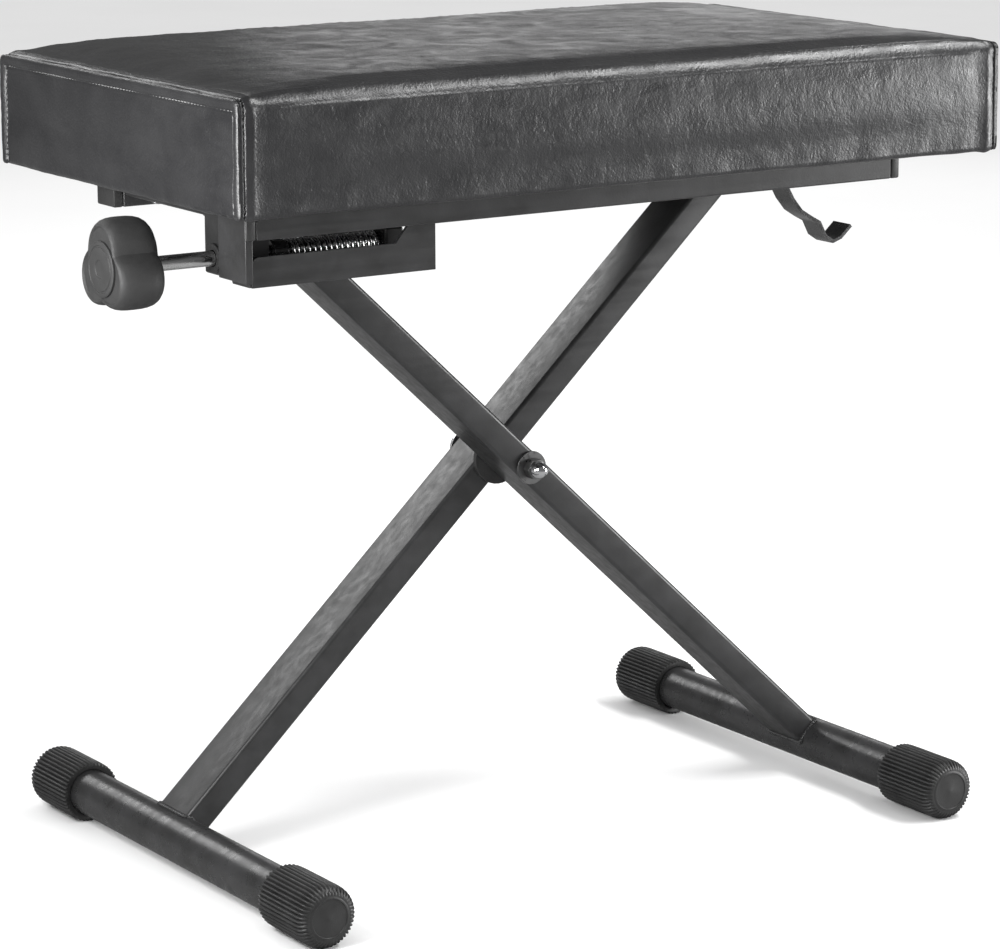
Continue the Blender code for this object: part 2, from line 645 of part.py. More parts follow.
def make_leg(name, top, foot, middle_y):
    """Rectangular tube from the foot bar to beyond the top axle, with an end plug."""
    along, across = leg_frame(top, foot)
    top_point = Vector((top[0], 0, top[1])) + along * LEG_END
    foot_point = Vector((foot[0], 0, foot[1]))
    low = foot_point + along * 0.002
    half_t, half_w = LEG_THICK / 2, LEG_WIDE / 2
    inner_t, inner_w = half_t - LEG_WALL, half_w - LEG_WALL
    inner_corner = LEG_CORNER - LEG_WALL
    leg = loop_skin(name, [
        leg_ring(low, across, middle_y, half_t, half_w, LEG_CORNER),
        leg_ring(top_point, across, middle_y, half_t, half_w, LEG_CORNER),
        leg_ring(top_point, across, middle_y, inner_t, inner_w, inner_corner),
        leg_ring(low, across, middle_y, inner_t, inner_w, inner_corner),
    ], "black_paint")
    carve(leg, rod(f"cut_{name}_cope", "Y", foot, middle_y - 0.05, middle_y + 0.05,
                   FOOT_RADIUS + GAP, "black_paint", SEGMENTS))
    front, back = middle_y - half_w - 0.01, middle_y + half_w + 0.01
    hole(leg, "Y", (PIVOT_X, PIVOT_Z), front, back, BOLT_RADIUS + RUN)
    hole(leg, "Y", top, front, back, AXLE_RADIUS + RUN)
    plug_t, plug_w = inner_t - GAP, inner_w - GAP
    cap_low = top_point + along * GAP
    stack(f"{name}_end_plug", [
        leg_ring(top_point - along * 0.005, across, middle_y, plug_t, plug_w, inner_corner),
        leg_ring(cap_low, across, middle_y, plug_t, plug_w, inner_corner),
        leg_ring(cap_low, across, middle_y, half_t, half_w, LEG_CORNER),
        leg_ring(cap_low + along * (PLUG - 0.001), across, middle_y, half_t, half_w, LEG_CORNER),
        leg_ring(cap_low + along * PLUG, across, middle_y, half_t - 0.001, half_w - 0.001,
                 LEG_CORNER - 0.001),
    ], "black_plastic")


def make_foot_bar(name, foot_x):
    place = (foot_x, FOOT_Z)
    half = FOOT_LENGTH / 2
    inside = half - FOOT_CAP_END - GAP
    tube(name, "Y", place, -inside, inside, FOOT_RADIUS, FOOT_RADIUS - FOOT_WALL, "black_paint",
         SEGMENTS)
    turn = -math.pi / 2 + math.pi / FOOT_CAP_FLATS
    outer = FOOT_CAP_RADIUS / math.cos(math.pi / FOOT_CAP_FLATS)
    bore = FOOT_RADIUS + GAP
    for side, way in (("front", -1), ("back", 1)):
        profile = [
            (half - FOOT_CAP_LENGTH, bore), (half - FOOT_CAP_LENGTH, outer - 0.0012),
            (half - FOOT_CAP_LENGTH + 0.0012, outer), (half - 0.005, outer),
            (half - 0.0015, outer - 0.0015), (half, outer - 0.0055),
        ]
        rings = [ring_points("Y", place, way * (half - FOOT_CAP_END), bore, FOOT_CAP_FLATS, turn)]
        for along, radius in profile:
            rings.append(ring_points("Y", place, way * along, radius, FOOT_CAP_FLATS, turn))
        stack(f"{name}_cap_{side}", rings, "black_rubber")


def hex_ring(name, place, start, end, across_flats, inner, slot):
    """A hexagon nut along Y with a round hole."""
    corner = across_flats / 2 / math.cos(math.pi / 6)
    shape = rod(name, "Y", place, start, end, corner, slot, 6)
    hole(shape, "Y", place, start - 0.005, end + 0.005, inner)
    return shape


def make_axle_set(name, place, start, end, head_radius):
    """An axle along Y with a round head at its front end."""
    axle = rod(name, "Y", place, start, end, AXLE_RADIUS, "zinc", SMALL_SEGMENTS)
    if head_radius:
        weld(axle, rod(f"add_{name}", "Y", place, start - 0.003, start + 0.0002, head_radius,
                       "zinc", SMALL_SEGMENTS))


def make_pivot_hardware():
    place = (PIVOT_X, PIVOT_Z)
    hole_radius = BOLT_RADIUS + GAP
    front = LEG_A_FRONT - GAP
    back = LEG_B_BACK + GAP
    tube("pivot_washer_front", "Y", place, front - WASHER, front, WASHER_RADIUS,
         hole_radius, "zinc")
    nut_end = front - WASHER - GAP
    nut_start = nut_end - PIVOT_NUT_LENGTH
    hex_ring("pivot_nut", place, nut_start, nut_end, PIVOT_NUT, hole_radius, "zinc")
    acorn_base = nut_start - GAP
    dome = [(0.0, ACORN_RADIUS), (0.0036, ACORN_RADIUS), (0.0060, ACORN_RADIUS * 0.86),
            (0.0080, ACORN_RADIUS * 0.55), (0.0090, ACORN_RADIUS * 0.18)]
    acorn = stack("pivot_acorn_cap",
                  [ring_points("Y", place, acorn_base - along, radius, SMALL_SEGMENTS)
                   for along, radius in dome], "chrome")
    hole(acorn, "Y", place, acorn_base - 0.0035, acorn_base + 0.002, hole_radius, 16)
    tube("pivot_spacer", "Y", place, LEG_A_BACK + GAP, LEG_B_FRONT - GAP, SPACER_RADIUS,
         hole_radius, "black_plastic")
    tube("pivot_washer_back", "Y", place, back, back + WASHER, WASHER_RADIUS,
         hole_radius, "zinc")
    head = back + WASHER + GAP
    bolt = rod("pivot_bolt", "Y", place, acorn_base - 0.0032, head + 0.001, BOLT_RADIUS, "zinc",
               SMALL_SEGMENTS)
    weld(bolt, rod("add_pivot_bolt", "Y", place, head, head + 0.0053,
                   PIVOT_NUT / math.sqrt(3), "zinc", 6))


# ---- assembly --------------------------------------------------------------------------
def clear_scene():
    for item in list(bpy.data.objects):
        bpy.data.objects.remove(item, do_unlink=True)


def build():
    clear_scene()
    root = add_empty("bench", (SHIFT_X, 0, 0))

    def carrier(name, place):
        return add_empty(name, (SHIFT_X + place[0], place[1], place[2]), root)

    def collect(name, place, *makers):
        before = {item.name for item in bpy.data.objects}
        holder = carrier(name, place)
        before.add(holder.name)
        for maker in makers:
            maker()
        gather(holder, before)

    def seat_parts():
        board, lining = make_cushion()
        make_rail("front_rail", FRONT_RAIL_Y)
        make_rail("back_rail", BACK_RAIL_Y)
        left = BRACKET_X + SHEET + GAP
        make_cross_bar("cross_bar_left", left, left + 0.020, (-0.050, 0.020), board, lining)
        right = AXLE_RIGHT + 0.032
        make_cross_bar("cross_bar_right", right, right + 0.024, (-0.070, 0.030), board, lining)
        make_spindle_bracket()
        make_guide_channel()
        make_latch_bracket()

    def axle_a_parts():
        front = LEG_A_FRONT - 0.0015 - SHEET - GAP
        back = LEG_A_BACK + 0.0008 + SHEET + 0.0010
        make_axle_set("leg_a_axle", (AXLE_LEFT, AXLE_Z), front, back, AXLE_RADIUS + 0.003)

    def leg_b_parts():
        make_leg("leg_b", (AXLE_RIGHT, AXLE_Z), (FOOT_B_X, FOOT_Z), LEG_B_Y)
        make_foot_bar("foot_bar_left", FOOT_B_X)
        make_axle_set("leg_b_axle", (AXLE_RIGHT, AXLE_Z), LEG_B_FRONT - AXLE_PROUD,
                      BACK_RAIL_FRONT - RUN, 0.0)

    def leg_a_parts():
        make_leg("leg_a", (AXLE_LEFT, AXLE_Z), (FOOT_A_X, FOOT_Z), LEG_A_Y)
        make_foot_bar("foot_bar_right", FOOT_A_X)

    top_axle = (AXLE_LEFT, LEG_A_Y, AXLE_Z)
    pivot = (PIVOT_X, LEG_A_Y, PIVOT_Z)
    collect("seat_frame", (0, 0, SEAT_BOTTOM), seat_parts)
    collect("lever_axis", (LEVER_PIVOT_X, LEVER_Y, LEVER_Z + LEVER_THICK / 2), make_latch_lever)
    collect("spindle_axis", (KNOB_INNER, SPINDLE_Y, SPINDLE_Z), make_spindle)
    collect("carriage_slide", (NUT_X, SPINDLE_Y, SPINDLE_Z), make_carriage, make_spring)
    collect("axle_a_axis", top_axle, axle_a_parts)
    collect("leg_a_axis", top_axle, leg_a_parts)
    collect("bolt_axis", pivot, make_pivot_hardware)
    collect("leg_b_axis", pivot, leg_b_parts)


build()
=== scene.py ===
"""Looks of the folding X-frame keyboard bench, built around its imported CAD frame. Metres, +Z up."""

import math

import bmesh
import bpy
from mathutils import Matrix, Vector, kdtree, noise


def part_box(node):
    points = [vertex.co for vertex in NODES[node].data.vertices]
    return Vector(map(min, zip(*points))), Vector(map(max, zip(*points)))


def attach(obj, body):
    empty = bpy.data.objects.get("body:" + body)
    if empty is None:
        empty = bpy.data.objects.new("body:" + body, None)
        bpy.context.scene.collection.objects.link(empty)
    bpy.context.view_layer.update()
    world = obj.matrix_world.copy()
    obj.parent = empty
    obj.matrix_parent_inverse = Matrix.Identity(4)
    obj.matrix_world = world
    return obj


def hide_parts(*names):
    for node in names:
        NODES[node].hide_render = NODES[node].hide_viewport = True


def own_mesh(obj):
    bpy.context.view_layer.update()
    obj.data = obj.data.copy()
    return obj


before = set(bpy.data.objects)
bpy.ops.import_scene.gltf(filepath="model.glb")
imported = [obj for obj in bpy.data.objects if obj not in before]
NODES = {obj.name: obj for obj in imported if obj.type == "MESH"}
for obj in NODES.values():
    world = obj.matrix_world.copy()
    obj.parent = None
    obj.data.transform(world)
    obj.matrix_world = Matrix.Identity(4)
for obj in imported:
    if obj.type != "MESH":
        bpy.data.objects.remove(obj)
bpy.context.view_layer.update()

# ---- places read from the frame --------------------------------------------------------
COVER_LOW, COVER_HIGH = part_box("seat_cover")
MIDDLE_X = (COVER_LOW.x + COVER_HIGH.x) / 2
HALF_X = (COVER_HIGH.x - COVER_LOW.x) / 2
HALF_Y = (COVER_HIGH.y - COVER_LOW.y) / 2
SEAT_TOP = COVER_HIGH.z
SEAT_LOW = COVER_LOW.z
BOARD_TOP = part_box("seat_board")[1].z


# ---- node materials --------------------------------------------------------------------
class Paint:
    """A Principled material whose colour, roughness and bump come from object-space nodes."""

    def __init__(self, name, roughness, metallic=0.0, sockets=None):
        self.material = bpy.data.materials.new(name)
        self.material.use_nodes = True
        self.tree = self.material.node_tree
        self.shader = self.tree.nodes["Principled BSDF"]
        self.shader.inputs["Roughness"].default_value = roughness
        self.shader.inputs["Metallic"].default_value = metallic
        for socket, value in (sockets or {}).items():
            self.shader.inputs[socket].default_value = value
        self.place = self.tree.nodes.new("ShaderNodeTexCoord")
        self.normal = None

    def link(self, source, target):
        self.tree.links.new(source, target)

    def coordinates(self, scale=(1, 1, 1), turn=(0, 0, 0)):
        mapping = self.tree.nodes.new("ShaderNodeMapping")
        mapping.inputs["Scale"].default_value = scale
        mapping.inputs["Rotation"].default_value = turn
        self.link(self.place.outputs["Object"], mapping.inputs["Vector"])
        return mapping.outputs["Vector"]

    def noise(self, scale, detail=3.0, stretch=(1, 1, 1), turn=(0, 0, 0), distortion=0.0):
        texture = self.tree.nodes.new("ShaderNodeTexNoise")
        texture.inputs["Scale"].default_value = scale
        texture.inputs["Detail"].default_value = detail
        texture.inputs["Distortion"].default_value = distortion
        self.link(self.coordinates(stretch, turn), texture.inputs["Vector"])
        return texture.outputs["Fac"]

    def cells(self, scale):
        texture = self.tree.nodes.new("ShaderNodeTexVoronoi")
        texture.inputs["Scale"].default_value = scale
        self.link(self.coordinates(), texture.inputs["Vector"])
        return texture.outputs["Distance"]

    def ramp(self, source, stops):
        node = self.tree.nodes.new("ShaderNodeValToRGB")
        elements = node.color_ramp.elements
        while len(elements) < len(stops):
            elements.new(0.5)
        for element, (position, colour) in zip(elements, stops):
            element.position = position
            if not isinstance(colour, tuple):
                colour = (colour, colour, colour)
            element.color = (*colour, 1.0)
        self.link(source, node.inputs["Fac"])
        return node.outputs["Color"]

    def colour(self, source, stops):
        self.link(self.ramp(source, stops), self.shader.inputs["Base Color"])

    def roughness(self, source, low, high):
        self.link(self.ramp(source, ((0.3, low), (0.7, high))), self.shader.inputs["Roughness"])

    def bump(self, height, strength, distance):
        """Adds a layer of relief on top of the ones already there."""
        node = self.tree.nodes.new("ShaderNodeBump")
        node.inputs["Strength"].default_value = strength
        node.inputs["Distance"].default_value = distance
        self.link(height, node.inputs["Height"])
        if self.normal:
            self.link(self.normal, node.inputs["Normal"])
        self.normal = node.outputs["Normal"]
        self.link(self.normal, self.shader.inputs["Normal"])


def leatherette():
    paint = Paint("black_leatherette", 0.36, sockets={"Specular IOR Level": 0.62})
    paint.colour(paint.noise(18, 5, distortion=0.6),
                 ((0.25, (0.010, 0.010, 0.011)), (0.75, (0.022, 0.022, 0.023))))
    paint.roughness(paint.noise(34, 6, stretch=(1, 1, 2.2), distortion=1.2), 0.29, 0.43)
    paint.bump(paint.noise(22, 3, distortion=0.5), 0.20, 0.0035)
    for scale, turn, depth in ((95, 0.7, 0.11), (130, -0.9, 0.10), (70, 1.6, 0.07)):
        lines = paint.noise(scale, 4, stretch=(1, 1, 0.75), turn=(turn, turn, 0.3),
                            distortion=1.6)
        paint.bump(paint.ramp(lines, ((0.38, 0.2), (0.52, 1.0))), depth, 0.0008)
    paint.bump(paint.cells(620), 0.22, 0.00040)
    paint.bump(paint.noise(1100, 3), 0.20, 0.00025)
    return paint.material


def thread():
    paint = Paint("black_thread_painted_sheen", 0.45, sockets={"Sheen Weight": 0.4})
    # Black thread with its colour lightened to grey: a painted highlight for the sheen on the
    # stitches, with a little random tone.
    paint.colour(paint.noise(900, 3), ((0.3, (0.09, 0.09, 0.09)), (0.7, (0.20, 0.20, 0.20))))
    paint.bump(paint.noise(1800, 2, stretch=(1, 1, 1)), 0.6, 0.0002)
    return paint.material


def powder_coat(name, lean=0.0, gloss=0.34, tone=1.0):
    """Semi-gloss black paint. lean turns the drawn-tube streaks about Y, to run along a leg."""
    paint = Paint(name, gloss, sockets={"Specular IOR Level": 0.5})
    turn = (0, lean, 0)
    streaks = paint.noise(120, 5, stretch=(0.05, 1.6, 1.6), turn=turn)
    low, high = 0.016 * tone, 0.028 * tone
    paint.colour(paint.noise(45, 5, distortion=0.4),
                 ((0.3, (low, low, low)), (0.7, (high, high, high * 1.03))))
    paint.roughness(streaks, gloss - 0.06, gloss + 0.08)
    paint.bump(streaks, 0.12, 0.0004)
    paint.bump(paint.noise(850, 3), 0.16, 0.0003)
    return paint.material


def rubber():
    paint = Paint("black_rubber", 0.45, sockets={"Specular IOR Level": 0.6})
    paint.colour(paint.noise(60, 4), ((0.3, (0.012, 0.012, 0.012)), (0.7, (0.022, 0.022, 0.022))))
    paint.roughness(paint.noise(220, 4), 0.34, 0.54)
    paint.bump(paint.noise(1300, 3), 0.30, 0.0003)
    return paint.material


def moulded(name, tone, roughness, grain):
    paint = Paint(name, roughness, sockets={"Specular IOR Level": 0.45})
    paint.colour(paint.noise(80, 4), ((0.3, (tone * 0.8,) * 3), (0.7, (tone * 1.15,) * 3)))
    paint.roughness(paint.noise(300, 3), roughness - 0.06, roughness + 0.06)
    paint.bump(paint.noise(grain, 4), 0.45, 0.0004)
    return paint.material


def bright_metal(name, tone, roughness, stretch, tint=1.0):
    paint = Paint(name, roughness, metallic=1.0)
    paint.colour(paint.noise(140, 4),
                 ((0.3, (tone * 0.86, tone * 0.86, tone * 0.86 * tint)),
                  (0.7, (tone, tone, tone * tint))))
    paint.roughness(paint.noise(400, 4, stretch=stretch), roughness * 0.7, roughness * 1.5)
    paint.bump(paint.noise(500, 3, stretch=stretch), 0.12, 0.0002)
    return paint.material


def felt():
    paint = Paint("black_lining", 0.92, sockets={"Sheen Weight": 0.3})
    paint.colour(paint.noise(500, 6), ((0.3, (0.012, 0.012, 0.012)), (0.7, (0.04, 0.04, 0.04))))
    paint.bump(paint.noise(700, 5), 0.7, 0.0006)
    return paint.material


def plywood():
    paint = Paint("plywood", 0.72)
    grain = paint.noise(30, 6, stretch=(0.12, 2.0, 8.0), distortion=0.8)
    paint.colour(grain, ((0.3, (0.30, 0.18, 0.09)), (0.7, (0.52, 0.35, 0.20))))
    paint.bump(grain, 0.3, 0.0006)
    return paint.material


LEG_LEAN = math.atan2(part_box("leg_b")[1].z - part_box("leg_b")[0].z,
                      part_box("leg_b")[1].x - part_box("leg_b")[0].x)
LEATHER = leatherette()
THREAD = thread()
STEEL_X = powder_coat("black_coat_rails")
STEEL_A = powder_coat("black_coat_leg_a", lean=-LEG_LEAN)
STEEL_B = powder_coat("black_coat_leg_b", lean=LEG_LEAN)
STEEL_FOOT = powder_coat("black_coat_feet", gloss=0.30)
STEEL_LEVER = powder_coat("black_coat_lever", gloss=0.22, tone=0.8)
WELD = powder_coat("black_coat_welds", gloss=0.30, tone=1.3)
RUBBER = rubber()
PLASTIC = moulded("black_plastic", 0.022, 0.45, 1500)
KNOB_PLASTIC = moulded("knob_plastic", 0.021, 0.60, 1700)
ZINC = bright_metal("bright_zinc", 0.66, 0.26, (1, 1, 1), 1.02)
DARK_ZINC = bright_metal("dark_zinc", 0.20, 0.34, (1, 1, 1))
ROD_STEEL = bright_metal("drawn_rod", 0.74, 0.24, (0.1, 1, 1))
CHROME = bright_metal("chrome_plate", 0.86, 0.10, (1, 1, 1), 1.02)
WIRE = bright_metal("spring_wire", 0.72, 0.20, (1, 1, 1))
FELT = felt()
PLYWOOD = plywood()


# ---- mesh helpers ----------------------------------------------------------------------
def add_mesh(name, points, faces, paint, body, sharp=35.0):
    mesh = bpy.data.meshes.new(name)
    mesh.from_pydata([tuple(point) for point in points], [], faces)
    shape = bmesh.new()
    shape.from_mesh(mesh)
    bmesh.ops.recalc_face_normals(shape, faces=shape.faces)
    shape.to_mesh(mesh)
    shape.free()
    mesh.shade_smooth()
    mesh.set_sharp_from_angle(angle=math.radians(sharp))
    mesh.materials.append(paint)
    made = bpy.data.objects.new(name, mesh)
    bpy.context.scene.collection.objects.link(made)
    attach(made, body)
    return made


class Skin:
    """Collects rings and strips of points into one list of faces."""

    def __init__(self):
        self.points = []
        self.faces = []

    def ring(self, points):
        first = len(self.points)
        self.points.extend(points)
        return list(range(first, first + len(points)))

    def bridge(self, low, high):
        count = len(low)
        for i in range(count):
            j = (i + 1) % count
            self.faces.append((low[i], low[j], high[j], high[i]))

    def loft(self, rings, closed=False):
        """Joins rings in a row and fills both ends, or joins the last ring to the first."""
        rows = [self.ring(points) for points in rings]
        pairs = zip(rows, rows[1:] + rows[:1]) if closed else zip(rows, rows[1:])
        for low, high in pairs:
            self.bridge(low, high)
        if not closed:
            self.faces += [tuple(rows[0]), tuple(rows[-1])]

    def make(self, name, paint, body, sharp=35.0):
        return add_mesh(name, self.points, self.faces, paint, body, sharp)


def circle(axis, centre, radius, count, turn=0.0):
    """A circle square to X or Y round a point."""
    points = []
    for i in range(count):
        angle = turn + 2 * math.pi * i / count
        across, up = radius * math.cos(angle), radius * math.sin(angle)
        if axis == "X":
            points.append(Vector((centre.x, centre.y + across, centre.z + up)))
        else:
            points.append(Vector((centre.x + across, centre.y, centre.z + up)))
    return points


def middle(node):
    low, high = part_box(node)
    return (low + high) / 2


def finish_node(name, paint, bevel=0.0004, angle=32):
    """Keeps a CAD node: joins its split corners, softens its sharp edges and paints it."""
    item = NODES[name]
    mesh = item.data
    normals = mesh.attributes.get("custom_normal")
    if normals:
        mesh.attributes.remove(normals)
    mesh.shade_smooth()
    mesh.materials.clear()
    mesh.materials.append(paint)
    weld = item.modifiers.new("weld", "WELD")
    weld.merge_threshold = 0.00002
    soften = item.modifiers.new("soften", "BEVEL")
    soften.width = bevel
    soften.segments = 2
    soften.limit_method = "ANGLE"
    soften.angle_limit = math.radians(angle)
    soften.harden_normals = True


# ---- cushion ---------------------------------------------------------------------------
TOP_RADIUS = 0.0115          # roll of the front and back top edges
CORNER_RADIUS = 0.0055       # the same roll where it meets the end panels
LOW_RADIUS = 0.0035          # roll of the lower edges
SEAM_RADIUS = 0.0032         # roll of the seams round the end panels
COVER_THICK = 0.0009
TUCK = 0.022                 # width of the cover folded under the board
FOLD_LOW = SEAT_LOW - 0.0011
LATERAL_STITCH = 0.0038      # stitch row beside the seam, from the end of the cushion
PANEL_STITCH = 0.0078        # stitch row on the end panel, from the panel's edge
STITCH_PITCH = 0.0042
STITCH_RADIUS = 0.00042
STITCH_ARCH = 0.00062        # height of the middle of a stitch over its ends
STITCH_TUG = 0.45            # share by which a groove's depth varies along the stitches
WELT = 0.0012                # rise of the panel's edge outside its stitch row
WELT_WIDTH = 0.0070
PANEL_GROOVE = 0.0011
BAND = 0.0012                # rise of the cover beside the seam
BAND_MIDDLE = 0.0090
LATERAL_GROOVE = 0.0017
FILL_RISE = 0.0042           # furthest the filling swells a panel
BOARD_FADE = 0.014           # height above the board over which the swell sets in
CROWN = 0.0052               # rise of the middle of the top
END_BELLY = 0.0018           # rise of the middle of the end panels
SIMULATED_FRAMES = 20


def spaced(low, high, fine, band, coarse):
    """Rising positions, close together within a band of each end."""
    positions = []
    for start, end, step in ((low, low + band, fine), (low + band, high - band, coarse),
                             (high - band, high, fine)):
        steps = max(1, round((end - start) / step))
        positions += [start + (end - start) * i / steps for i in range(steps)]
    return positions + [high]


def block_grid(xs, ys, zs):
    """Surface of a block as grid points and quads, with only a border of its underside."""
    index, points, faces = {}, [], []

    def at(x, y, z):
        key = (x, y, z)
        if key not in index:
            index[key] = len(points)
            points.append(Vector(key))
        return index[key]

    def quads(us, vs, corner, keep=None):
        for u0, u1 in zip(us, us[1:]):
            for v0, v1 in zip(vs, vs[1:]):
                if keep and not keep((u0 + u1) / 2, (v0 + v1) / 2):
                    continue
                faces.append(tuple(at(*corner(u, v)) for u, v in
                                   ((u0, v0), (u1, v0), (u1, v1), (u0, v1))))

    def on_border(x, y):
        return HALF_X - abs(x) < TUCK or HALF_Y - abs(y) < TUCK

    quads(xs, ys, lambda x, y: (x, y, zs[-1]))
    quads(xs, ys, lambda x, y: (x, y, zs[0]), on_border)
    for y in (ys[0], ys[-1]):
        quads(xs, zs, lambda x, z, y=y: (x, y, z))
    for x in (xs[0], xs[-1]):
        quads(ys, zs, lambda y, z, x=x: (x, y, z))
    return points, faces


def bell(value, centre, width):
    return math.exp(-((value - centre) / width) ** 2)


def seated(p):
    """Rounds the block's edges: returns the place and the outward direction there."""
    x, y, z = p
    side = 1 if y >= 0 else -1
    end = 1 if x >= 0 else -1
    from_end = HALF_X - abs(x)
    on_end = from_end < 1e-6
    upper = z > (SEAT_TOP + FOLD_LOW) / 2
    radius = LOW_RADIUS
    if upper:
        radius = TOP_RADIUS - (TOP_RADIUS - CORNER_RADIUS) * math.exp(-from_end / 0.03)
    level = SEAT_TOP - radius if upper else FOLD_LOW + radius
    dy = abs(y) - (HALF_Y - radius)
    dz = (z - level) if upper else (level - z)
    up = 1 if upper else -1
    if dy > 0 and dz > 0:
        reach, most = math.hypot(dy, dz), max(dy, dz)
        out = Vector((0, side * dy / reach, up * dz / reach))
        dy, dz = dy * most / reach, dz * most / reach
        y, z = side * (HALF_Y - radius + dy), level + up * dz
    elif dz > dy:
        out = Vector((0, 0, up))
    else:
        out = Vector((0, side, 0))
    if on_end:
        inner = min(HALF_Y - abs(p.y), SEAT_TOP - p.z, p.z - FOLD_LOW)
    else:
        inner = 0.0
    place = Vector((x, y, z))
    if from_end < SEAM_RADIUS and inner < SEAM_RADIUS:
        du, dv = SEAM_RADIUS - from_end, SEAM_RADIUS - inner
        reach, most = math.hypot(du, dv), max(du, dv)
        place.x = end * (HALF_X - SEAM_RADIUS + du * most / reach)
        place -= out * (SEAM_RADIUS - inner - dv * most / reach)
        out = (out * dv + Vector((end, 0, 0)) * du) / reach
    elif on_end:
        out = Vector((end, 0, 0))
    return place, out


def seam_relief(p):
    """Height of the sewn edge round each end panel, along the outward direction."""
    from_end = HALF_X - abs(p.x)
    on_end = from_end < 1e-6
    if on_end:
        inner = min(HALF_Y - abs(p.y), SEAT_TOP - p.z)
        along_y = SEAT_TOP - p.z < HALF_Y - abs(p.y)
    else:
        along_y = abs(p.z - SEAT_TOP) < 1e-6
    along = p.y if along_y else p.z
    tug = 1.0 + STITCH_TUG * math.cos(2 * math.pi * along / STITCH_PITCH)
    if on_end:
        welt = WELT * (1 - 1 / (1 + math.exp(-(inner - WELT_WIDTH) / 0.0004)))
        return welt - PANEL_GROOVE * tug * bell(inner, PANEL_STITCH, 0.0008)
    groove = LATERAL_GROOVE * tug * bell(from_end, LATERAL_STITCH, 0.0007)
    return BAND * bell(from_end, BAND_MIDDLE, 0.0040) - groove


def wrinkles(p):
    """Loose folds: soft waves, pleats over the tucked lower edge and pulls at the top corners."""
    soft = 0.00055 * noise.noise(p * 24) + 0.00025 * noise.noise(p * 70)
    around = p.x + p.y * 1.3
    pleat = noise.noise(Vector((around * 62, 3.1, 0.0))) + 0.5 * noise.noise(
        Vector((around * 140, 8.2, 0.0)))
    low = 0.0010 * pleat * math.exp(-(p.z - FOLD_LOW) / 0.010) if p.z > FOLD_LOW + 1e-6 else 0.0
    corner = Vector((HALF_X - abs(p.x), HALF_Y - abs(p.y), SEAT_TOP - p.z)).length
    pull = 0.0005 * noise.noise(p * 85) * math.exp(-corner / 0.045)
    return soft + low + pull


def swell_of_filling():
    """Inflates a coarse copy of the cover as cloth and returns how far each spot moved."""
    xs = spaced(-HALF_X, HALF_X, 0.006, 0.018, 0.0105)
    ys = spaced(-HALF_Y, HALF_Y, 0.006, 0.018, 0.0105)
    zs = spaced(FOLD_LOW, SEAT_TOP, 0.006, 0.018, 0.0105)
    grid, faces = block_grid(xs, ys, zs)
    start = [seated(p)[0] for p in grid]
    tree = kdtree.KDTree(len(grid))
    for i, p in enumerate(grid):
        tree.insert(p, i)
    tree.balance()
    mesh = bpy.data.meshes.new("filling_cloth")
    mesh.from_pydata([tuple(p) for p in start], [], faces)
    cloth_item = bpy.data.objects.new("filling_cloth", mesh)
    bpy.context.scene.collection.objects.link(cloth_item)
    held = cloth_item.vertex_groups.new(name="held")
    for i, p in enumerate(grid):
        sewn = HALF_X - abs(p.x) < 0.0005 and min(HALF_Y - abs(p.y), SEAT_TOP - p.z) < 0.0005
        if sewn or p.z < FOLD_LOW + 0.004:
            held.add([i], 1.0, "REPLACE")
    cloth = cloth_item.modifiers.new("cloth", "CLOTH")
    cloth.settings.quality = 6
    cloth.settings.use_pressure = True
    cloth.settings.uniform_pressure_force = 4.0
    cloth.settings.effector_weights.gravity = 0.0
    cloth.settings.vertex_group_mass = "held"
    cloth.settings.bending_stiffness = 2.0
    cloth.point_cache.frame_end = SIMULATED_FRAMES
    for number in range(1, SIMULATED_FRAMES + 1):
        bpy.context.scene.frame_set(number)
    graph = bpy.context.evaluated_depsgraph_get()
    result = cloth_item.evaluated_get(graph).to_mesh()
    moved = []
    for before, vertex in zip(start, result.vertices):
        shift = vertex.co - before
        reach = shift.length
        moved.append(shift * (FILL_RISE / (FILL_RISE + reach)) if reach else shift)
    bpy.context.scene.frame_set(1)
    bpy.data.objects.remove(cloth_item, do_unlink=True)
    return tree, moved


def crown(p):
    """Rise of the top, held down along the sewn ends."""
    from_end = max(0.0, HALF_X - abs(p.x))
    level = (p.z - (SEAT_TOP - 0.055)) / 0.055
    level = min(max(level, 0.0), 1.0)
    rise = CROWN * (1 - math.exp(-(from_end / 0.038) ** 1.4))
    return Vector((0, 0, rise * level * level * (3 - 2 * level)))


def bulge(p):
    """Outward belly of the end panels."""
    if HALF_X - abs(p.x) > 1e-6:
        return Vector()
    across = max(0.0, 1 - (p.y / HALF_Y) ** 2)
    upright = math.sin(math.pi * (p.z - FOLD_LOW) / (SEAT_TOP - FOLD_LOW))
    return Vector((math.copysign(END_BELLY * math.sqrt(across) * upright, p.x), 0, 0))


